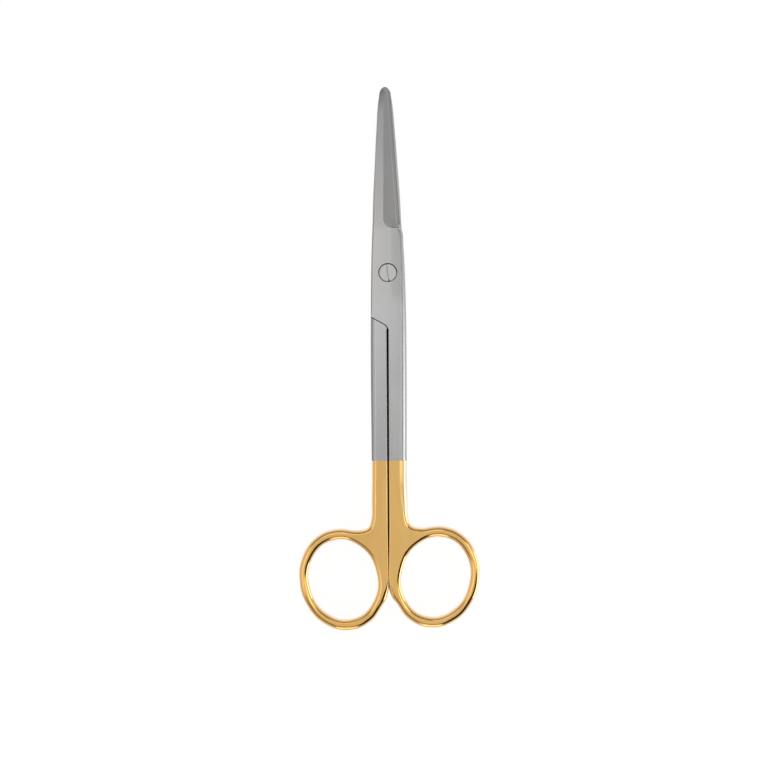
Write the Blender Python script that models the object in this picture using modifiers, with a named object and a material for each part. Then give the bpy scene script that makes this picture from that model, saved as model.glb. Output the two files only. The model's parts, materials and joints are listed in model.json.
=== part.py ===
# Dissecting scissors, closed, lying on their rear face.
# Metres, +Z up. The origin is on the pivot axis at the resting plane, +Y runs to the tips, and the
# screw head looks up. Each half is one forging: blade, lap, shank and finger ring. Both halves are
# modelled in a frame of their own, whose z = 0 is the plane on which they ride over each other, and
# the rear half is the same form turned half round about the long axis.

import math
from collections import namedtuple

import bmesh
import bpy
from mathutils import Matrix, Vector

# Lengths along the scissors, from the pivot
BLADE_REACH = 0.0581            # to the tip
BLADE_ROOT = 0.0140             # to the shoulder where the ground bevel runs out
FRONT_RING_REACH = 0.0950       # to the middle of the front half's finger hole
REAR_RING_REACH = 0.0957        # the rear ring of the real pair hangs a little lower
PLATING_LINE = 0.0586           # to the line where the gold plating starts

# Widths, from the centre line
SHANK_EDGE = 0.0056             # outer edge of a shank
SHANK_SLIT = 0.00052            # slit between the closed shanks
SLIT_SHIFT = 0.00020            # on the real pair the slit lies this far left of the pivot
SHANK_SHIFT = 0.00016           # and both outer edges this far right of their place
RING_CONTACT_GAP = 0.00012      # between the closed rings
BLADE_SET = math.radians(0.60)  # the closed blades lean to the left of the shanks' line

# Thicknesses
LOCK_THICKNESS = 0.0052         # over both laps
RING_THICKNESS = 0.0043
TIP_THICKNESS = 0.0011          # one blade where the nose starts
TIP_NOSE = 0.0080               # length over which the tip drops away in a curve
NOSE_DROP = 0.0005              # and how much it drops
RIDE_GAP = 0.0001               # between the halves where they ride on each other

# Finger rings: a tilted oval hole with a wall round it
RING_HOLE_WIDTH = 0.0212
RING_HOLE_HEIGHT = 0.0252
RING_SIDE_WALL = 0.0030
RING_END_WALL = 0.0034
RING_INNER_WALL = 0.0038        # beside the other ring
RING_TILT = math.radians(14.0)
CONTACT_DROP = 0.0028           # the rings touch down to this far below the middle of the hole
PARTING_DROP = 0.0056           # and have moved apart by PARTING at this drop
PARTING = 0.0006
FADE_DROP = 0.0045              # the slit's small rounding has grown to the ring's at this drop
NECK_RADIUS = 0.0027            # fillet between shank and ring
NECK_FLARE = 0.0003             # the shank widens this much above the fillet
NECK_DROP = 0.0004              # the fillet ends this far below the ring's top

# Lap joint
LAP_CORNER = 0.0136             # pivot to the outer end of the lap's slanted lower edge
LAP_DROP = 0.0031               # fall of that edge towards the slit
LAP_CORNER_ROUND = 0.0008       # rounding where it turns into the slit
LAP_GAP = 0.00026               # between that edge and the other half's shoulder

# Roundings of the forging's long edges
OUTER_ROUND = 0.00145           # outer edge of shank and ring
HOLE_ROUND = 0.0014             # finger hole
SPINE_ROUND = 0.0006            # back of the blade
SLIT_ROUND = 0.00035            # edges beside the slit
LAP_ROUND = 0.00012             # edge of the lap over the other shank

# Cutting edge, ground bevel and hard-metal insert
EDGE_HEEL = 0.00415             # cutting edge from the blade's middle line, at the root
EDGE_TIP = 0.0018               # and beside the tip, at EDGE_TIP_SHARE of the blade's reach
EDGE_STOCK = 0.0001             # left on the forging for the facet grind
EDGE_FACET = 0.0003             # height of the last facet at the edge
RIDGE_OFFSET = 0.00120          # ridge of the bevel beyond the blade's middle line, at the root
RUNOUT_RADIUS = 0.0058          # corner of the bevel at its root, seen from the front
RUNOUT_LEAD = 0.0011            # the corner's curve starts this far beyond the ridge
RUNOUT_FILLET = 0.0012          # rounding between the bevel and the wall at its root
INSERT_WIDTH = 0.0022
INSERT_THICKNESS = 0.00062
INSERT_HEEL = 0.0013            # from the root of the blade to the end of the insert
BRAZE_GAP = 0.00005

# Pivot screw
SCREW_HEAD_DIAMETER = 0.0055
SCREW_CHAMFER = 0.00012         # broken edge of the head
SCREW_RIM = 0.0004              # straight rim above the countersunk cone
SCREW_DIAMETER = 0.0032
SCREW_CONE_HEIGHT = 0.0013
SCREW_CLEARANCE = 0.00008       # round the screw
SCREW_SINK = 0.00003            # head and end lie this far below the faces
SLOT_WIDTH = 0.00030
SLOT_DEPTH = 0.0006
SLOT_TURN = math.radians(7.0)

CUT_OVERRUN = 0.0020            # cutters run this far past what they cut
WELD = 0.000005                 # points nearer than this are one

# Shares chosen by eye
# Half width of the closed blades: (share of BLADE_REACH, share of SHANK_EDGE), tip to lap
BLADE_SHARES = (
    (0.983, 0.246), (0.948, 0.338), (0.760, 0.518), (0.584, 0.632), (0.412, 0.742), (0.240, 0.814))
# The same for the lap, and the share of SHANK_SHIFT there
LAP_SHARES = ((0.155, 0.880, 0), (-0.010, 0.944, 0.6), (-0.240, 0.987, 1))
NOSE_SHARES = (0.12, 0.25, 0.4, 0.55, 0.7, 0.85, 1)  # stations in the nose, shares of TIP_NOSE
EDGE_TIP_SHARE = 0.928          # where the straight cutting edge ends, share of BLADE_REACH
SHOULDER_SHARE = 0.215          # station of the shoulder's foot, share of BLADE_REACH
SHOULDER_WIDTH_SHARE = 0.845    # its half width, share of SHANK_EDGE
NECK_START_SHARE = 2.2          # start of the flare above the neck fillet's arc, share of its radius
ROUNDING_STEPS = 6              # faces round a quarter of each rounded edge
SLIGHT_TILT = math.radians(5.0)  # a face tilted less than this belongs to a flat side of the blank
SAME_TILT = math.radians(0.1)   # faces differing less than this are one

EDGE_END = BLADE_REACH * EDGE_TIP_SHARE
HALF_LOCK = LOCK_THICKNESS / 2
HALF_RING = RING_THICKNESS / 2

# What the two halves have of their own, each seen in its own frame
Form = namedtuple("Form", "side turn blade_set ring_reach slit shank_shift")
FRONT = Form("front", 0, BLADE_SET, FRONT_RING_REACH, SHANK_SLIT / 2 - SLIT_SHIFT, SHANK_SHIFT)
REAR = Form("rear", math.pi, -BLADE_SET, REAR_RING_REACH, SHANK_SLIT / 2 + SLIT_SHIFT, -SHANK_SHIFT)


def clear_scene():
    for thing in list(bpy.data.objects):
        bpy.data.objects.remove(thing, do_unlink=True)


def new_collection(name):
    collection = bpy.data.collections.new(name)
    bpy.context.scene.collection.children.link(collection)
    return collection


def move_to(thing, collection):
    for old in list(thing.users_collection):
        old.objects.unlink(thing)
    collection.objects.link(thing)


def metal(name, colour, roughness):
    material = bpy.data.materials.new(name)
    material.use_nodes = True
    shader = material.node_tree.nodes["Principled BSDF"]
    shader.inputs["Base Color"].default_value = (*colour, 1)
    shader.inputs["Metallic"].default_value = 1
    shader.inputs["Roughness"].default_value = roughness
    material.diffuse_color = (*colour, 1)
    return material


def make_cutter(thing):
    thing.hide_render = True
    thing.display_type = 'WIRE'
    move_to(thing, cutters)


def add_boolean(target, cutter, operation):
    cut = target.modifiers.new(operation.lower() + "_" + cutter.name, 'BOOLEAN')
    cut.operation = operation
    cut.solver = 'EXACT'
    cut.object = cutter


# A box from its lowest to its highest corner, in its parent's frame
def box(name, low, high, parent):
    bpy.ops.mesh.primitive_cube_add(size=1)
    thing = bpy.context.object
    thing.name = name
    middle = (Vector(low) + Vector(high)) / 2
    size = Vector(high) - Vector(low)
    thing.data.transform(Matrix.Translation(middle) @ Matrix.Diagonal((*size, 1)))
    thing.parent = parent
    return thing


def empty(name, location, rotation, parent):
    thing = bpy.data.objects.new(name, None)
    thing.location = location
    thing.rotation_euler = rotation
    thing.parent = parent
    parts.objects.link(thing)
    return thing


# A Bezier curve through a closed plan outline. Each anchor is (x, y, handle type)
def outline_curve(name, loop, resolution):
    curve = bpy.data.curves.new(name, 'CURVE')
    curve.dimensions = '2D'
    curve.fill_mode = 'NONE'
    curve.resolution_u = resolution
    spline = curve.splines.new('BEZIER')
    spline.bezier_points.add(len(loop) - 1)
    for point, (x, y, handle) in zip(spline.bezier_points, loop):
        point.co = (x, y, 0)
        point.handle_left_type = handle
        point.handle_right_type = handle
    spline.use_cyclic_u = True
    return curve


# The curve as a mesh object. The curve itself is removed
def mesh_from_curve(name, curve):
    drawing = bpy.data.objects.new(name + "_drawing", curve)
    bpy.context.scene.collection.objects.link(drawing)
    bpy.context.view_layer.update()
    evaluated = drawing.evaluated_get(bpy.context.evaluated_depsgraph_get())
    mesh = bpy.data.meshes.new_from_object(evaluated)
    mesh.name = name
    thing = bpy.data.objects.new(name, mesh)
    thing.matrix_world = drawing.matrix_world
    parts.objects.link(thing)
    bpy.data.objects.remove(drawing)
    shell = bmesh.new()
    shell.from_mesh(mesh)
    bmesh.ops.remove_doubles(shell, verts=shell.verts, dist=WELD)
    bmesh.ops.recalc_face_normals(shell, faces=shell.faces)
    shell.to_mesh(mesh)
    shell.free()
    return thing


def turned(x, y, angle):
    return (x * math.cos(angle) - y * math.sin(angle), x * math.sin(angle) + y * math.cos(angle))


# The ring's oval at an angle: 0 is the outer side, 90 the top, 180 the side beside the other ring
def ring_point(angle, half_width, half_height, ring_reach):
    x, y = turned(half_width * math.cos(angle), half_height * math.sin(angle), -RING_TILT)
    return (RING_CENTRE + x, y - ring_reach)


RING_CENTRE = RING_CONTACT_GAP / 2 + RING_INNER_WALL + RING_HOLE_WIDTH / 2
RING_HALF_WIDTH = RING_HOLE_WIDTH / 2 + RING_SIDE_WALL
RING_HALF_HEIGHT = RING_HOLE_HEIGHT / 2 + RING_END_WALL


# The highest point of the tilted oval
def ring_top(ring_reach):
    lean = RING_HALF_WIDTH * math.sin(RING_TILT)
    rise = RING_HALF_HEIGHT * math.cos(RING_TILT)
    return math.hypot(lean, rise) - ring_reach


# A place on the side of the lap or shank: side is -1 on the lap's free side, 1 on the shank's
def lap_point(shares, side, form):
    along, across, shift = shares
    return (side * across * SHANK_EDGE + shift * form.shank_shift, along * BLADE_REACH)


# Height of the lap's slanted lower edge at x. It falls towards the slit
def lap_edge(x):
    return -LAP_CORNER - LAP_DROP - x * LAP_DROP / (LAP_SHARES[2][1] * SHANK_EDGE)


def half_outline(form):
    anchors = [(*turned(0, BLADE_REACH, form.blade_set), 'AUTO')]
    # Back of the blade and free side of the lap, downwards
    for along, across in BLADE_SHARES:
        anchors.append((*turned(-across * SHANK_EDGE, along * BLADE_REACH, form.blade_set), 'AUTO'))
    for shares in LAP_SHARES[:2]:
        anchors.append((*lap_point(shares, -1, form), 'AUTO'))
    # Slanted lower edge of the lap, then the slit
    corner_x = lap_point(LAP_SHARES[2], -1, form)[0]
    anchors.append((corner_x, lap_edge(corner_x), 'VECTOR'))
    round_x = form.slit - LAP_CORNER_ROUND
    anchors.append((round_x, lap_edge(round_x), 'VECTOR'))
    anchors.append((form.slit, lap_edge(form.slit) - LAP_CORNER_ROUND, 'VECTOR'))
    # Beside the other ring and round the finger ring
    top = ring_top(form.ring_reach)
    middle = -form.ring_reach
    contact = form.slit + (RING_CONTACT_GAP - SHANK_SLIT) / 2
    anchors.append((form.slit, top, 'VECTOR'))
    anchors.append((contact, middle, 'VECTOR'))
    anchors.append((contact, middle - CONTACT_DROP, 'AUTO'))
    anchors.append((contact + PARTING, middle - PARTING_DROP, 'AUTO'))
    for degrees in (224, 250, 280, 310, 340, 370, 400, 430, 456):
        point = ring_point(math.radians(degrees), RING_HALF_WIDTH, RING_HALF_HEIGHT, form.ring_reach)
        anchors.append((*point, 'AUTO'))
    # Neck fillet and outer edge of the shank, upwards
    edge = SHANK_EDGE + form.shank_shift
    neck_x = edge + NECK_FLARE + NECK_RADIUS
    neck_y = top - NECK_DROP + NECK_RADIUS
    diagonal = NECK_RADIUS * math.sin(math.radians(45))
    anchors.append((neck_x, neck_y - NECK_RADIUS, 'AUTO'))
    anchors.append((neck_x - diagonal, neck_y - diagonal, 'AUTO'))
    anchors.append((neck_x - NECK_RADIUS, neck_y, 'AUTO'))
    anchors.append((edge, neck_y + NECK_RADIUS * NECK_START_SHARE, 'AUTO'))
    anchors.append((edge, -BLADE_REACH / 2, 'AUTO'))
    for shares in reversed(LAP_SHARES):
        anchors.append((*lap_point(shares, 1, form), 'AUTO'))
    # Shoulder at the root of the blade, then the straight cutting side
    anchors.append((SHOULDER_WIDTH_SHARE * SHANK_EDGE, SHOULDER_SHARE * BLADE_REACH, 'AUTO'))
    anchors.append((*turned(edge_at(BLADE_ROOT), BLADE_ROOT, form.blade_set), 'VECTOR'))
    anchors.append((*turned(edge_at(EDGE_END), EDGE_END, form.blade_set), 'VECTOR'))
    along, across = BLADE_SHARES[0]
    anchors.append((*turned(across * SHANK_EDGE - EDGE_STOCK, along * BLADE_REACH, form.blade_set), 'AUTO'))
    return anchors


def edge_at(station):
    run = (station - BLADE_ROOT) / (EDGE_END - BLADE_ROOT)
    return EDGE_HEEL + (EDGE_TIP - EDGE_HEEL) * run + EDGE_STOCK


# Half the thickness of the blank at a station, all straight tapers
def half_thickness(y, ring_reach):
    shank_end = ring_top(ring_reach)
    if y > BLADE_ROOT:
        run = (y - BLADE_ROOT) / (BLADE_REACH - BLADE_ROOT)
        nose = max(0, y - BLADE_REACH + TIP_NOSE) / TIP_NOSE
        return HALF_LOCK + (TIP_THICKNESS - HALF_LOCK) * run - NOSE_DROP * nose ** 2
    if y > -LAP_CORNER:
        return HALF_LOCK
    run = min(1, (y + LAP_CORNER) / (shank_end + LAP_CORNER))
    return HALF_LOCK + (HALF_RING - HALF_LOCK) * run


# Radius to which the blank's edge is rounded at a place on its outline
def rounding_at(x, y, form):
    beside_slit = x < form.slit + SHANK_SLIT and y < -LAP_CORNER
    if y < -form.ring_reach and x < RING_CENTRE:
        grown = min(1, (-form.ring_reach - y) / FADE_DROP)
        return SLIT_ROUND + (OUTER_ROUND - SLIT_ROUND) * grown
    if beside_slit and y < -LAP_CORNER - LAP_DROP:
        return SLIT_ROUND
    if beside_slit:
        return LAP_ROUND
    if x < 0 or y > BLADE_ROOT:
        return SPINE_ROUND
    return OUTER_ROUND


# Rows of one outline, from the inset edge of the top face round both roundings to the bottom face
def rounded_rows(shell, points, radii, steps):
    rows = []
    count = len(points)
    normals = []
    for i in range(count):
        before = (points[i] - points[i - 1]).normalized()
        after = (points[(i + 1) % count] - points[i]).normalized()
        along = (before + after).normalized()
        spread = 1 / max(0.5, along.dot(after))
        normals.append(Vector((along.y, -along.x)) * spread)
    angles = [math.pi / 2 * (1 - i / steps) for i in range(steps + 1)]
    for side in (1, -1):
        for angle in angles if side == 1 else reversed(angles):
            row = []
            for point, normal, radius in zip(points, normals, radii):
                place = point - normal * radius * (1 - math.cos(angle))
                height = side * (HALF_LOCK - radius * (1 - math.sin(angle)))
                row.append(shell.verts.new((place.x, place.y, height)))
            rows.append(row)
    for upper, lower in zip(rows, rows[1:]):
        for i in range(count):
            shell.faces.new((upper[i - 1], lower[i - 1], lower[i], upper[i]))
    return rows[0], rows[-1]


# The forged blank: a loft of rounded sections along the outline and the finger hole, flat faces
# between them, tapered to the tip and to the ring, and plated below the line
def forged_blank(name, frame, form):
    ring_reach = form.ring_reach
    hole = []
    for degrees in range(0, 360, 45):
        point = ring_point(-math.radians(degrees), RING_HOLE_WIDTH / 2, RING_HOLE_HEIGHT / 2, ring_reach)
        hole.append((*point, 'AUTO'))
    shell = bmesh.new()
    tops = []
    bottoms = []
    for loop in (half_outline(form), hole):
        drawn = mesh_from_curve(name, outline_curve(name, loop, 6))
        points = [vertex.co.to_2d() for vertex in drawn.data.vertices]
        bpy.data.objects.remove(drawn)
        if loop is hole:
            radii = [HOLE_ROUND] * len(points)
        else:
            radii = [rounding_at(point.x, point.y, form) for point in points]
        top, bottom = rounded_rows(shell, points, radii, ROUNDING_STEPS)
        tops.append(top)
        bottoms.append(bottom)
    for rims in (tops, bottoms):
        edges = [shell.edges.get((rim[i - 1], rim[i])) for rim in rims for i in range(len(rim))]
        bmesh.ops.triangle_fill(shell, edges=edges, use_beauty=True)
    shank_end = ring_top(ring_reach)
    nose_stations = [BLADE_REACH - TIP_NOSE * share for share in NOSE_SHARES]
    for station in (*nose_stations, BLADE_ROOT, -LAP_CORNER, -PLATING_LINE, shank_end):
        everything = shell.verts[:] + shell.edges[:] + shell.faces[:]
        bmesh.ops.bisect_plane(shell, geom=everything, plane_co=(0, station, 0), plane_no=(0, 1, 0))
    for vertex in shell.verts:
        vertex.co.z *= half_thickness(vertex.co.y, ring_reach) / HALF_LOCK
    bmesh.ops.recalc_face_normals(shell, faces=shell.faces)
    for face in shell.faces:
        face.smooth = True
        if face.calc_center_median().y < -PLATING_LINE:
            face.material_index = 1
    flat = [e for e in shell.edges if all(abs(f.normal.z) > math.cos(SLIGHT_TILT) for f in e.link_faces)]
    bmesh.ops.dissolve_limit(shell, angle_limit=SAME_TILT, verts=[], edges=flat, delimit={'MATERIAL'})
    mesh = bpy.data.meshes.new(name)
    shell.to_mesh(mesh)
    shell.free()
    blank = bpy.data.objects.new(name, mesh)
    parts.objects.link(blank)
    blank.parent = frame
    return blank


# Mills the blade and lap down to the riding plane. Its lower edge is the other lap's, with the gap
def lap_cutter(name, frame, form):
    wide = SHANK_EDGE + CUT_OVERRUN
    bottom = lap_edge(0) - LAP_GAP - CUT_OVERRUN
    other_slit = SHANK_SLIT - form.slit
    knee = LAP_CORNER_ROUND - other_slit + LAP_GAP
    corners = (
        (-wide, BLADE_REACH + CUT_OVERRUN), (-wide, bottom), (0, bottom),
        (0, lap_edge(0) - LAP_GAP - LAP_CORNER_ROUND + other_slit), (knee, lap_edge(-knee) - LAP_GAP),
        (wide, lap_edge(-wide) - LAP_GAP), (wide, BLADE_REACH + CUT_OVERRUN))
    loop = [(x, y, 'VECTOR') for x, y in corners]
    depth = HALF_LOCK + CUT_OVERRUN
    drawing = outline_curve(name, loop, 1)
    drawing.fill_mode = 'BOTH'
    drawing.extrude = depth / 2
    cutter = mesh_from_curve(name, drawing)
    cutter.data.transform(Matrix.Translation((0, 0, (RIDE_GAP - depth) / 2)))
    cutter.parent = frame
    make_cutter(cutter)
    return cutter


# Grinds the broad bevel: a slab on the bevel's plane whose root corner is a wheel's round runout
def bevel_cutter(name, edge_frame, bevel_angle, ridge_reach):
    heel = empty(name + "_frame", (-EDGE_FACET, 0, EDGE_FACET), (0, bevel_angle, 0), edge_frame)
    left = -ridge_reach / math.cos(bevel_angle) - RUNOUT_LEAD - RUNOUT_FILLET
    cutter = box(name, (left, 0, 0), (CUT_OVERRUN * 2, BLADE_REACH, LOCK_THICKNESS), heel)
    root = cutter.vertex_groups.new(name="root")
    root.add([v.index for v in cutter.data.vertices if v.co.x < 0 and v.co.y < WELD], 1, 'REPLACE')
    corner = cutter.modifiers.new("runout_corner", 'BEVEL')
    corner.limit_method = 'VGROUP'
    corner.vertex_group = root.name
    corner.width = RUNOUT_RADIUS
    corner.segments = 12
    wall = cutter.modifiers.new("runout_wall", 'BEVEL')
    wall.limit_method = 'ANGLE'
    wall.width = RUNOUT_FILLET
    wall.segments = 3
    make_cutter(cutter)
    return cutter


def turned_solid(name, profile, steps, frame):
    mesh = bpy.data.meshes.new(name)
    mesh.from_pydata([(x, 0, z) for x, z in profile], [(i, i + 1) for i in range(len(profile) - 1)], [])
    thing = bpy.data.objects.new(name, mesh)
    parts.objects.link(thing)
    turn = thing.modifiers.new("turn", 'SCREW')
    turn.steps = steps
    turn.render_steps = steps
    turn.use_merge_vertices = True
    turn.merge_threshold = WELD
    turn.use_smooth_shade = True
    thing.parent = frame
    return thing


# Screw and bore share this profile, top to bottom. The edge at the face is broken, inwards on the
# screw and outwards on the bore
def screw_profile(top, bottom, grow, edge):
    head = SCREW_HEAD_DIAMETER / 2 + grow
    stem = SCREW_DIAMETER / 2 + grow
    cone_top = HALF_LOCK - SCREW_SINK - SCREW_RIM
    cone_end = cone_top - SCREW_CONE_HEIGHT
    profile = [(0, top), (head + edge, top), (head, top - abs(edge))]
    return profile + [(head, cone_top), (stem, cone_end), (stem, bottom), (0, bottom)]


def make_half(form):
    side = form.side
    frame = empty(side + "_frame", (0, 0, HALF_LOCK), (0, form.turn, 0), None)
    blade_frame = empty(side + "_blade_frame", (0, 0, RIDE_GAP / 2), (0, 0, form.blade_set), frame)
    edge_angle = math.atan2(EDGE_HEEL - EDGE_TIP, EDGE_END - BLADE_ROOT)
    edge_frame = empty(side + "_edge_frame", (EDGE_HEEL, BLADE_ROOT, 0), (0, 0, edge_angle), blade_frame)
    ridge_reach = EDGE_HEEL + RIDGE_OFFSET - EDGE_FACET
    bevel_angle = math.atan2(HALF_LOCK - EDGE_FACET - RIDE_GAP / 2, ridge_reach)

    half = forged_blank(side + "_half", frame, form)
    add_boolean(half, lap_cutter(side + "_lap_cutter", frame, form), 'DIFFERENCE')
    bevel = bevel_cutter(side + "_bevel_cutter", edge_frame, bevel_angle, ridge_reach)
    add_boolean(half, bevel, 'DIFFERENCE')
    facet_frame = empty(side + "_facet_frame", (0, 0, 0), (0, math.radians(45), 0), edge_frame)
    facet = box(
        side + "_facet_cutter", (-CUT_OVERRUN / 2, EDGE_FACET, 0),
        (CUT_OVERRUN, BLADE_REACH, CUT_OVERRUN), facet_frame)
    make_cutter(facet)
    add_boolean(half, facet, 'DIFFERENCE')

    insert = half.copy()
    insert.data = half.data.copy()
    insert.name = side + "_blade_insert"
    parts.objects.link(insert)
    insert_end = (CUT_OVERRUN, BLADE_REACH, INSERT_THICKNESS)
    strip = box(side + "_insert_strip", (-INSERT_WIDTH, INSERT_HEEL, -CUT_OVERRUN), insert_end, edge_frame)
    make_cutter(strip)
    add_boolean(insert, strip, 'INTERSECT')
    rebate = box(
        side + "_rebate_cutter", (-INSERT_WIDTH - BRAZE_GAP, INSERT_HEEL - BRAZE_GAP, -CUT_OVERRUN),
        (CUT_OVERRUN, BLADE_REACH, INSERT_THICKNESS + BRAZE_GAP), edge_frame)
    make_cutter(rebate)
    add_boolean(half, rebate, 'DIFFERENCE')
    return half, insert, frame


def cut_bore(half, name, profile, frame):
    bore = turned_solid(name, profile, 48, frame)
    make_cutter(bore)
    add_boolean(half, bore, 'DIFFERENCE')


def make_screw(frame):
    top = HALF_LOCK - SCREW_SINK
    screw = turned_solid("pivot_screw", screw_profile(top, -top, 0, -SCREW_CHAMFER), 48, frame)
    reach = SCREW_HEAD_DIAMETER / 2 + CUT_OVERRUN
    slot = box(
        "slot_cutter", (-SLOT_WIDTH / 2, -reach, top - SLOT_DEPTH),
        (SLOT_WIDTH / 2, reach, top + CUT_OVERRUN), frame)
    slot.rotation_euler = (0, 0, SLOT_TURN)
    make_cutter(slot)
    add_boolean(screw, slot, 'DIFFERENCE')
    return screw


clear_scene()
parts = new_collection("dissecting_scissors")
cutters = new_collection("cutters")

front_half, front_insert, front_frame = make_half(FRONT)
rear_half, rear_insert, rear_frame = make_half(REAR)

past_face = HALF_LOCK + CUT_OVERRUN
bore_profile = screw_profile(HALF_LOCK, -past_face, SCREW_CLEARANCE, SCREW_CHAMFER)
bore_profile[0] = (0, past_face)
bore_profile.insert(1, (bore_profile[1][0] + past_face - HALF_LOCK, past_face))
cut_bore(front_half, "front_bore_cutter", bore_profile, front_frame)
bore_radius = SCREW_DIAMETER / 2 + SCREW_CLEARANCE
straight = [(0, past_face), (bore_radius, past_face), (bore_radius, -past_face), (0, -past_face)]
cut_bore(rear_half, "rear_bore_cutter", straight, front_frame)
screw = make_screw(front_frame)

steel = metal("satin_steel", (0.50, 0.50, 0.49), 0.30)
plating = metal("gold_plating", (0.76, 0.53, 0.25), 0.20)
for half in (front_half, rear_half):
    half.data.materials.append(steel)
    half.data.materials.append(plating)
carbide = metal("hard_metal", (0.36, 0.36, 0.36), 0.35)
for insert in (front_insert, rear_insert):
    insert.data.materials.append(carbide)
screw.data.materials.append(metal("screw_steel", (0.48, 0.48, 0.47), 0.28))
bpy.context.view_layer.update()
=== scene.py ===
import json
import math

import bpy
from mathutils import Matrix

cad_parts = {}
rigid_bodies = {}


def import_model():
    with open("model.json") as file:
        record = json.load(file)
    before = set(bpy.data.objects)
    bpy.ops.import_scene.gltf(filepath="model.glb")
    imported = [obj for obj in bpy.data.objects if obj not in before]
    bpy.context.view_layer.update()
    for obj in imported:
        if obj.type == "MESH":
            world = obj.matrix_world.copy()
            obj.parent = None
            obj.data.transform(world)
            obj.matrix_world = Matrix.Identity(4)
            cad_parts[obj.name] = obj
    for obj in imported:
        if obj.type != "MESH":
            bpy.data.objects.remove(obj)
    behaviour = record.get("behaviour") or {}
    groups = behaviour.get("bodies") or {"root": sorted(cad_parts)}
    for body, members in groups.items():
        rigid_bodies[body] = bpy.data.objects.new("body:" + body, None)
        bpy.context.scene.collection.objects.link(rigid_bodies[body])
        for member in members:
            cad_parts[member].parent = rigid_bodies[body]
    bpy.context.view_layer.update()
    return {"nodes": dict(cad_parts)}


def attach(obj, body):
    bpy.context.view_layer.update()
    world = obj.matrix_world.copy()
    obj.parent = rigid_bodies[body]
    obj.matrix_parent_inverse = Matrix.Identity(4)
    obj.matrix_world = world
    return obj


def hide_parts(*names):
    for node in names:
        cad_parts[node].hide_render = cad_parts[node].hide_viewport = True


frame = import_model()
print("stage: frame loaded")


def deselectAll():
    for item in bpy.context.view_layer.objects:
        item.select_set(False)


def pick(item):
    deselectAll()
    item.select_set(True)
    bpy.context.view_layer.objects.active = item


def applyModifiers(item):
    pick(item)
    for modifier in list(item.modifiers):
        bpy.ops.object.modifier_apply(modifier=modifier.name)


# an output socket, so that shader sums are written with plain operators
class Wire:
    def __init__(self, finish, socket):
        self.finish = finish
        self.socket = socket

    def __add__(self, other):
        return self.finish.maths("ADD", self, other)

    def __radd__(self, other):
        return self.finish.maths("ADD", other, self)

    def __sub__(self, other):
        return self.finish.maths("SUBTRACT", self, other)

    def __rsub__(self, other):
        return self.finish.maths("SUBTRACT", other, self)

    def __mul__(self, other):
        return self.finish.maths("MULTIPLY", self, other)

    def __rmul__(self, other):
        return self.finish.maths("MULTIPLY", other, self)

    def __truediv__(self, other):
        return self.finish.maths("DIVIDE", self, other)

    def size(self):
        return self.finish.maths("ABSOLUTE", self)

    def power(self, exponent):
        return self.finish.maths("POWER", self, exponent)

    def atMost(self, limit):
        return self.finish.maths("MINIMUM", self, limit)

    def atLeast(self, limit):
        return self.finish.maths("MAXIMUM", self, limit)

    def step(self, low, high):                       # smooth 0 to 1 between two values
        return self.finish.node(
            "ShaderNodeMapRange", {"interpolation_type": "SMOOTHSTEP"},
            {"Value": self, "From Min": low, "From Max": high})

    def band(self, rise, fall):                      # 1 between two soft edges
        return self.step(*rise) * (1 - self.step(*fall))


# the node tree of a material or of the world
class Finish:
    def __init__(self, tree):
        self.tree = tree
        tree.nodes.clear()

    def node(self, kind, settings=None, values=None, output=0):
        made = self.tree.nodes.new(kind)
        for name, value in (settings or {}).items():
            setattr(made, name, value)
        for name, value in (values or {}).items():
            if isinstance(value, Wire):
                self.tree.links.new(value.socket, made.inputs[name])
            else:
                made.inputs[name].default_value = value
        return Wire(self, made.outputs[output])

    def maths(self, operation, *values):
        return self.node("ShaderNodeMath", {"operation": operation}, dict(enumerate(values)))

    def place(self, stretch):                        # Object coordinates, stretched
        spot = self.node("ShaderNodeTexCoord", output="Object")
        return self.node("ShaderNodeMapping", values={"Vector": spot, "Scale": stretch})

    def axes(self, vector):
        split = self.node("ShaderNodeSeparateXYZ", values={"Vector": vector})
        return [Wire(self, out) for out in split.socket.node.outputs]

    def noise(self, vector, scale, detail):          # about zero
        values = {"Vector": vector, "Scale": scale, "Detail": detail}
        return self.node("ShaderNodeTexNoise", values=values) - 0.5

    def blend(self, share, first, second):           # two colours
        return self.node("ShaderNodeMix", {"data_type": "RGBA"}, {0: share, 6: first, 7: second}, 2)

    def close(self, surface, kind="ShaderNodeOutputMaterial"):
        end = self.tree.nodes.new(kind)
        self.tree.links.new(surface.socket, end.inputs["Surface"])


def newMaterial(name):
    material = bpy.data.materials.new(name)
    material.use_nodes = True
    return material


# painted shade, in a ring round the pivot or along a slanted line
def grimeMask(grime, x, y, z):
    if "radius" in grime:
        off = (x * x + y * y).power(0.5) - grime["radius"]
        share = y.step(*grime["along"]) * (1 - grime["least"]) + grime["least"]
    else:
        off = y + x * grime["slope"] - grime["place"]
        share = y.band(grime["along"], grime["until"]) * grime["share"]
    return (1 - off.size().step(*grime["edges"])) * z.band(grime["over"], grime["under"]) * share


# a soft patch of painted light and shade, fading out along both axes
def patchMask(patch, x, y):
    share = patch["share"]
    for axis, centre, core, fade in zip((x, y), patch["centre"], patch["core"], patch["fade"]):
        share = (1 - (axis - centre).size().step(core, core + fade)) * share
    return share


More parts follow.
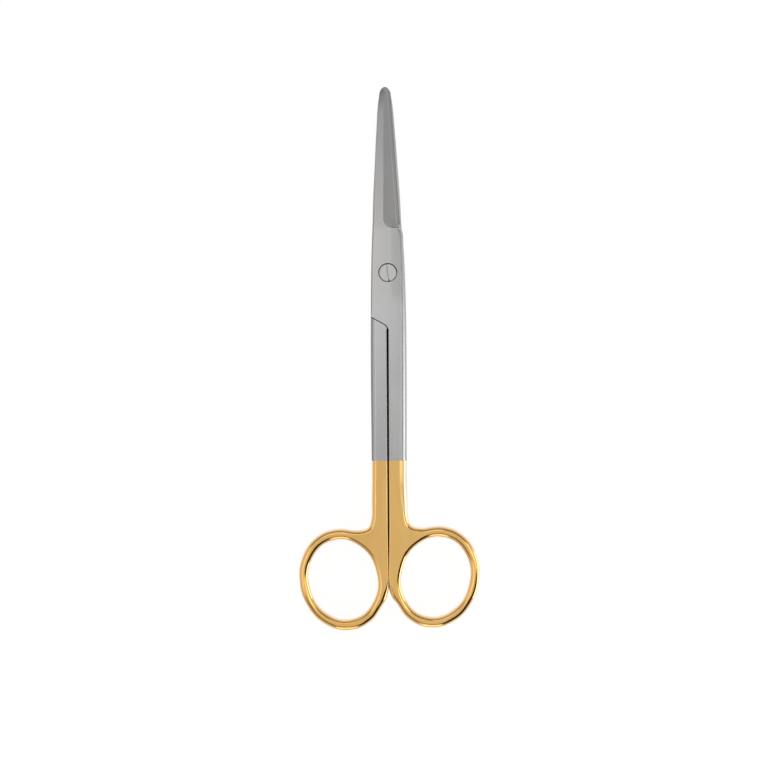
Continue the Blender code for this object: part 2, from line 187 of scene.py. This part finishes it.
def metalFinish(name, look):
    material = newMaterial(name)
    finish = Finish(material.node_tree)
    x, y, z = finish.axes(finish.place((1, 1, 1)))
    cloud = finish.noise(finish.place(look["cloudStretch"]), look["cloudScale"], look["cloudDetail"])
    brush = finish.noise(finish.place(look["brushStretch"]), look["brushScale"], look["brushDetail"])
    mixed = cloud * look["cloudDepth"] + brush * look["brushDepth"] + 0.5
    tint = finish.blend(mixed, look["dark"], look["light"])
    # 1 on the flat faces, 0 on upright walls
    level = finish.axes(finish.node("ShaderNodeTexCoord", output="Normal"))[2].size()
    # painted reflection, highlight and shade, as soft patches on the flatter faces
    for patch in look["patches"]:
        tint = finish.blend(patchMask(patch, x, y) * level.step(*look["patchTilt"]), tint, patch["colour"])
    # painted edge light on rounded edges: shade on the steel's left edges below the blade and on all the
    # carbide's edges, a pale highlight on all the gold's edges
    rim = (1 - level).step(*look["rimReach"]) * level.step(*look["rimWall"])
    rim = rim * (1 - x.step(*look["rimSide"])) * (1 - y.step(*look["rimAlong"]))
    tint = finish.blend(rim * look["rim"], tint, look["rimColour"])
    # painted shade: the blade's bevel faces are darker than its flats
    ground = level.band(*look["groundTilt"]) * y.step(*look["groundAlong"])
    tint = finish.blend(ground * look["ground"], tint, look["grimeColour"])
    # painted shade in the screw's seam and slot and along the lap's edge
    for grime in look["grime"]:
        tint = finish.blend(grimeMask(grime, x, y, z), tint, look["grimeColour"])
    # the faces are a little crowned across, and the right shank's outer margin falls away softly
    crown = x.size().atMost(look["crownReach"])
    margin = (x - look["marginFrom"]).atLeast(0).atMost(look["marginReach"])
    soft = y.band(look["marginEnd"], look["marginAlong"]) * look["marginSoft"]
    wave = finish.noise(finish.place(look["waveStretch"]), look["waveScale"], look["waveDetail"])
    height = wave * look["waveHeight"] - crown * crown * look["crown"] - margin * margin * soft
    bump = finish.node("ShaderNodeBump", values={"Height": height, "Strength": 1.0, "Distance": 1.0})
    roughness = look["roughness"] + brush * look["brushRoughness"] + cloud * look["cloudRoughness"]
    finish.close(finish.node("ShaderNodeBsdfPrincipled", values={
        "Base Color": tint, "Metallic": 1.0, "Normal": bump, "Roughness": roughness}))
    return material


# painted shade in the seam round the screw, in its slot and in the joint at the lap's edge
seamGrime = {
    "radius": 0.00279, "edges": (0.00010, 0.00024), "over": (0.0044, 0.0046), "under": (0.0060, 0.0061),
    "along": (-0.0006, 0.0006), "least": 0.0,
}
slotGrime = {
    "radius": 0, "edges": (0.0028, 0.0029), "over": (0.0040, 0.0042), "under": (0.0048, 0.0050),
    "along": (-0.0019, -0.0025), "least": 0.30,
}
lapGrime = {
    "slope": 0.561, "place": -0.01683, "edges": (0.0002, 0.0004),
    "over": (0.0022, 0.0023), "under": (0.0029, 0.0030),
    "along": (-0.0168, -0.0166), "until": (0.0, 0.001), "share": 0.92,
}
cornerGrime = dict(
    lapGrime, slope=2.2, place=-0.0176, edges=(0.0004, 0.0009),
    along=(-0.0186, -0.0180), until=(-0.0168, -0.0164))

# patches of painted reflection, highlight and shade: half widths of the core and of the fade round it,
# across and along
# painted reflection tone: warmer and a little darker over the lap's left half
warmReflectionTone = {
    "centre": (-0.0020, 0.0120), "core": (0.0015, 0.0120), "fade": (0.0040, 0.0140),
    "share": 0.5, "colour": (0.428, 0.411, 0.390, 1),
}
# painted reflection shade: darker and greener over the lap's right half
greenReflectionShade = {
    "centre": (0.0026, 0.0040), "core": (0.0008, 0.0090), "fade": (0.0014, 0.0060),
    "share": 0.52, "colour": (0.338, 0.344, 0.322, 1),
}
# painted light: paler over the right shank just above the gold
paleReflectionLight = {
    "centre": (0.0025, -0.0480), "core": (0.0008, 0.0080), "fade": (0.0020, 0.0080),
    "share": 0.4, "colour": (0.555, 0.550, 0.540, 1),
}
# painted shade: darker towards the blade's tip
tipShade = {
    "centre": (-0.0020, 0.0480), "core": (0.0050, 0.0090), "fade": (0.0040, 0.0080),
    "share": 0.22, "colour": (0.34, 0.34, 0.34, 1),
}
# painted highlight: a pale band along the gold's right margin
marginHighlight = {
    "centre": (0.0052, -0.0650), "core": (0.0006, 0.0070), "fade": (0.0006, 0.0060),
    "share": 0.80, "colour": (0.54, 0.47, 0.35, 1),
}
# painted shade: a dark spot at the lower end of the screw's slot
slotEndShade = {
    "centre": (0.00042, -0.00238), "core": (0.00010, 0.00012), "fade": (0.00020, 0.00022),
    "share": 0.9, "colour": (0.03, 0.03, 0.03, 1),
}
# painted shade beside the screw's slot, on its left
slotShade = {
    "centre": (-0.00040, 0.0004), "core": (0.00005, 0.0008), "fade": (0.00050, 0.0016),
    "share": 0.30, "colour": (0.34, 0.35, 0.33, 1),
}

# an edge that lies far off the scissors, so that a mask has no end on that side
noEdge = (1, 2)

steelLook = {
    "dark": (0.443, 0.445, 0.448, 1), "light": (0.473, 0.475, 0.478, 1), "roughness": 0.27,
    "cloudStretch": (1, 0.35, 1), "cloudScale": 45, "cloudDetail": 3,
    "cloudDepth": 1.0, "cloudRoughness": 0.04,
    "brushStretch": (1, 0.04, 1), "brushScale": 420, "brushDetail": 2,
    "brushDepth": 1.0, "brushRoughness": 0.03,
    "waveStretch": (1, 0.3, 1), "waveScale": 60, "waveDetail": 1, "waveHeight": 0.00004,
    "crown": 4.4, "crownReach": 0.0056,
    "marginFrom": 0.0030, "marginReach": 0.0024, "marginSoft": 60,
    "marginAlong": (-0.040, 0.030), "marginEnd": (-0.080, -0.070),
    "patches": (warmReflectionTone, greenReflectionShade, paleReflectionLight, tipShade), "patchTilt": (0.3, 0.6),
    "grime": (seamGrime, lapGrime, cornerGrime), "grimeColour": (0.03, 0.03, 0.03, 1),
    "ground": 0.10, "groundTilt": ((0.84, 0.87), (0.935, 0.96)), "groundAlong": (0.0105, 0.0125),
    "rim": 0.80, "rimColour": (0.12, 0.12, 0.12, 1), "rimReach": (0.13, 0.42), "rimWall": (0.05, 0.25),
    "rimSide": (-0.001, 0.0), "rimAlong": (0.012, 0.030),
}
goldLook = dict(
    steelLook, dark=(0.85, 0.505, 0.160, 1), light=(0.93, 0.580, 0.205, 1), roughness=0.11,
    cloudScale=70, cloudDepth=2.0, cloudRoughness=0.03,
    brushScale=380, brushDepth=0.6, brushRoughness=0.02,
    waveScale=140, waveHeight=0.00030, crown=3.0, crownReach=0.0054,
    marginFrom=0.0028, marginSoft=58, marginAlong=(-0.040, 0.0), marginEnd=(-0.078, -0.066),
    patches=(marginHighlight,), grime=(), ground=0,
    rim=0.5, rimColour=(1, 1, 1, 1), rimReach=(0.12, 0.50), rimWall=(0.10, 0.40),
    rimSide=noEdge, rimAlong=noEdge)
carbideLook = dict(
    steelLook, dark=(0.435, 0.434, 0.430, 1), light=(0.465, 0.464, 0.460, 1), roughness=0.28,
    grime=(), rim=0.65, rimReach=(0.12, 0.28), rimSide=noEdge, rimAlong=noEdge)
screwLook = dict(
    steelLook, dark=(0.445, 0.445, 0.435, 1), light=(0.475, 0.475, 0.465, 1),
    patches=(slotShade, slotEndShade), grime=(slotGrime,), ground=0, crown=1.5, marginSoft=0)

satinSteel = metalFinish("satinSteel", steelLook)
goldPlating = metalFinish("goldPlating", goldLook)
groundCarbide = metalFinish("groundCarbide", carbideLook)
screwSteel = metalFinish("screwSteel", screwLook)
print("stage: finishes made")

# lengths in metres, angles and tilts in degrees
forging = {
    "platingLine": -0.0586, "weld": 0.000001, "smoothAngle": 30, "facetAngle": 12,
    "flatTilt": 6, "bevelTilt": (18, 31), "faceWeight": 100,
}


def weldedCopy(nodeName, pieceName):
    mesh = frame["nodes"][nodeName].data.copy()
    mesh.name = pieceName
    piece = bpy.data.objects.new(pieceName, mesh)
    bpy.context.scene.collection.objects.link(piece)
    pick(piece)
    bpy.ops.mesh.customdata_custom_splitnormals_clear()
    bpy.ops.object.mode_set(mode="EDIT")
    bpy.ops.mesh.select_all(action="SELECT")
    bpy.ops.mesh.remove_doubles(threshold=forging["weld"])
    bpy.ops.mesh.mark_sharp(clear=True)
    bpy.ops.object.mode_set(mode="OBJECT")
    return piece


# the second finish starts at a sharp line across the shank
def cutAtPlating(piece):
    pick(piece)
    bpy.ops.object.mode_set(mode="EDIT")
    bpy.ops.mesh.select_all(action="SELECT")
    bpy.ops.mesh.bisect(plane_co=(0, forging["platingLine"], 0), plane_no=(0, 1, 0))
    bpy.ops.object.mode_set(mode="OBJECT")
    for face in piece.data.polygons:
        face.material_index = 1 if face.center.y < forging["platingLine"] else 0


def tiltOf(face):
    return math.degrees(math.acos(min(1, abs(face.normal.z))))


# crisp edges where the ground bevel meets a flat face
def markRidges(piece):
    mesh = piece.data
    facesOf = {}
    for face in mesh.polygons:
        for key in face.edge_keys:
            facesOf.setdefault(key, []).append(face)
    low, high = forging["bevelTilt"]
    for edge in mesh.edges:
        tilts = sorted(tiltOf(face) for face in facesOf.get(edge.key, []))
        if len(tilts) == 2 and tilts[0] < forging["flatTilt"] and low < tilts[1] < high:
            edge.use_edge_sharp = True


def finishNormals(piece, angle):
    pick(piece)
    bpy.ops.object.shade_smooth_by_angle(angle=math.radians(angle))
    markRidges(piece)
    weigh = piece.modifiers.new("flatFacesFirst", "WEIGHTED_NORMAL")
    weigh.keep_sharp = True
    weigh.weight = forging["faceWeight"]
    applyModifiers(piece)


# a welded copy of a CAD node with its finishes and true normals
def finishedPiece(nodeName, pieceName, body, finishes, angle):
    piece = weldedCopy(nodeName, pieceName)
    piece.data.materials.clear()
    for material in finishes:
        piece.data.materials.append(material)
    if len(finishes) > 1:
        cutAtPlating(piece)
    finishNormals(piece, angle)
    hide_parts(nodeName)
    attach(piece, body)


smooth = forging["smoothAngle"]
faceted = forging["facetAngle"]
plated = (satinSteel, goldPlating)
finishedPiece("front_half", "frontForging", "front", plated, smooth)
finishedPiece("rear_half", "rearForging", "rear", plated, smooth)
finishedPiece("front_blade_insert", "frontInsert", "front", (groundCarbide,), faceted)
finishedPiece("rear_blade_insert", "rearInsert", "rear", (groundCarbide,), faceted)
finishedPiece("pivot_screw", "screw", "rear", (screwSteel,), faceted)
print("stage: forgings done")

# camera, as far above the scissors as the photograph was taken
camera = {
    "distance": 0.75, "viewWidth": 0.240, "pivotPixel": (387.75, 273.0), "frameSize": 768, "sensor": 36,
    "roll": math.radians(-0.30), "height": 0.0026,
}
sightline = bpy.data.cameras.new("camera")
sightline.sensor_width = camera["sensor"]
sightline.lens = camera["sensor"] * camera["distance"] / camera["viewWidth"]
eye = bpy.data.objects.new("camera", sightline)
bpy.context.scene.collection.objects.link(eye)
pixel = camera["viewWidth"] / camera["frameSize"]
right = (camera["frameSize"] / 2 - camera["pivotPixel"][0]) * pixel
up = (camera["pivotPixel"][1] - camera["frameSize"] / 2) * pixel
roll = camera["roll"]
eye.location = (
    right * math.cos(roll) - up * math.sin(roll),
    right * math.sin(roll) + up * math.cos(roll),
    camera["height"] + camera["distance"])
eye.rotation_euler = (0, 0, roll)
bpy.context.scene.camera = eye
print("stage: camera set")

# floor, white to the eye and in reflections, with the scissors' shadow and painted shade in the slit
# between the shanks
floorLook = {
    "size": 3.0, "place": (0, -0.03, -0.00002), "colour": (0.86, 0.86, 0.86, 1),
    "white": 1.09, "shown": 0.85, "whiteTo": ("Is Camera Ray", "Is Glossy Ray", "Is Transmission Ray"),
    "gapReach": 0.005, "gapSamples": 16, "gapDark": 0.25, "gapLight": 0.50,
    "gapPlace": -0.0002, "gapSide": (0.0006, 0.0010),
    "gapEnd": (-0.0700, -0.0675), "gapStart": (0.0130, 0.0140),
}
deselectAll()
bpy.ops.mesh.primitive_plane_add(size=floorLook["size"], location=floorLook["place"])
floor = bpy.context.object
floor.name = "floor"
floorWhite = newMaterial("floorWhite")
finish = Finish(floorWhite.node_tree)
hidden = finish.node(
    "ShaderNodeAmbientOcclusion", {"samples": floorLook["gapSamples"]},
    {"Distance": floorLook["gapReach"]}, "AO")
paper = finish.node("ShaderNodeBsdfDiffuse", values={"Color": floorLook["colour"]})
# the floor's own coordinates
floorX, floorY, _ = finish.axes(finish.node("ShaderNodeTexCoord", output="Object"))
beside = (floorX - floorLook["gapPlace"]).size().step(*floorLook["gapSide"])
beyond = 1 - floorY.band(floorLook["gapEnd"], floorLook["gapStart"])
# painted shade: the floor's white glow dims where it is occluded, only along the slit between the shanks
clear = hidden.step(floorLook["gapDark"], floorLook["gapLight"]).atLeast(beside).atLeast(beyond)
glow = finish.node("ShaderNodeEmission", values={
    "Color": (1, 1, 1, 1), "Strength": clear * floorLook["white"]})
first, *others = [finish.node("ShaderNodeLightPath", output=name) for name in floorLook["whiteTo"]]
seen = sum(others, first).atMost(1)
finish.close(finish.node("ShaderNodeMixShader", values={0: seen * floorLook["shown"], 1: paper, 2: glow}))
floor.data.materials.append(floorWhite)
print("stage: floor laid")

# light: a grey tent with dark and bright walls, a softbox over the screw and a panel on the right
tent = {
    "grey": 0.75, "cloud": 0.22, "cloudScale": 9.0, "cloudDetail": 1, "darkTint": (1, 0.85, 0.68, 1),
    "ring": 0.62, "ringLeft": 0.12, "ringNear": 0.86, "ringRise": (0.58, 0.70), "ringFall": (0.92, 0.965),
    # where a sector of the sky faces, and its soft edge as a cosine
    "sectors": {
        "right": ((0.98, 0.17), (0.90, 0.97)),
        "bevel": ((1, 0), (0.80, 0.95)),
        "near": ((0.82, -0.57), (0.62, 0.93)),
        "left": ((-1, 0), (0.80, 0.95)),
        "wideLeft": ((-1, 0), (0.45, 0.75)),
        "foot": ((0, -1), (0.95, 0.98)),
        "wideFoot": ((0, -1), (0.10, 0.40)),
    },
    # a wall's sector, its lower and upper edge as heights in the sky, and its strength
    "walls": {
        "nearDark": ("near", (0.40, 0.52), (0.92, 0.965), 0.86),
        "bevelDark": ("bevel", (0.52, 0.60), (0.76, 0.82), 0.12),
        "leftDark": ("wideLeft", (-2, -1), (0.60, 0.72), 0.10),
        "lowDark": ("wideFoot", (0.03, 0.10), (0.30, 0.45), 0.25),
        "window": ("right", (0.84, 0.88), (0.965, 0.994), 0.85),
        "leftGlow": ("left", (0.88, 0.92), (0.965, 0.985), 0.50),
        "leftFill": ("left", (0.40, 0.60), (0.90, 0.94), 0.22),
        "footSlot": ("foot", (0.30, 0.40), (0.80, 0.87), 1.1),
    },
}
world = bpy.data.worlds.new("tent")
bpy.context.scene.world = world
world.use_nodes = True
sky = Finish(world.node_tree)
spot = sky.node("ShaderNodeTexCoord", output="Generated")
x, y, z = sky.axes(spot)
aside = (x * x + y * y).power(0.5) + 0.0001          # never zero
across = x / aside
along = y / aside
toward = {
    name: (across * facing[0] + along * facing[1]).step(*sides)
    for name, (facing, sides) in tent["sectors"].items()}
wall = {
    name: toward[sector] * z.band(rise, fall) * strength
    for name, (sector, rise, fall, strength) in tent["walls"].items()}
notRight = 1 - toward["right"]
ringShare = tent["ring"] + toward["near"] * (tent["ringNear"] - tent["ring"])
ringShare = ringShare - toward["left"] * (tent["ring"] - tent["ringLeft"])
ringDark = z.band(tent["ringRise"], tent["ringFall"]) * ringShare * notRight
warm = (1 - ringDark) * (1 - wall["nearDark"] * notRight)
level = tent["grey"] + sky.noise(spot, tent["cloudScale"], tent["cloudDetail"]) * tent["cloud"]
level = level * warm * (1 - wall["bevelDark"]) * (1 - wall["leftDark"]) * (1 - wall["lowDark"])
level = level + wall["window"] + wall["leftGlow"] + wall["leftFill"] + wall["footSlot"]
toEye = sky.node("ShaderNodeLightPath", output="Is Camera Ray")
strength = toEye + (1 - toEye) * level               # white behind the floor's edge
hue = sky.blend((1 - warm) * (1 - toEye), (1, 1, 1, 1), tent["darkTint"])
background = sky.node("ShaderNodeBackground", values={"Color": hue, "Strength": strength})
sky.close(background, "ShaderNodeOutputWorld")

lamps = {
    "softbox": {"place": (-0.05, 0.017, 0.30), "size": (0.16, 0.103), "level": 0.52, "turn": 0},
    "rightPanel": {"place": (0.25, -0.12, 0.080), "size": (0.16, 0.22), "level": 1.75, "turn": math.pi / 2},
}
for name, lamp in lamps.items():
    width, depth = lamp["size"]
    data = bpy.data.lights.new(name, "AREA")
    data.shape = "RECTANGLE"
    data.size = width
    data.size_y = depth
    data.energy = lamp["level"] * math.pi * width * depth
    holder = bpy.data.objects.new(name, data)
    holder.location = lamp["place"]
    holder.rotation_euler = (0, lamp["turn"], 0)
    bpy.context.scene.collection.objects.link(holder)

bpy.context.scene.view_settings.view_transform = "Standard"
print("stage: light set")
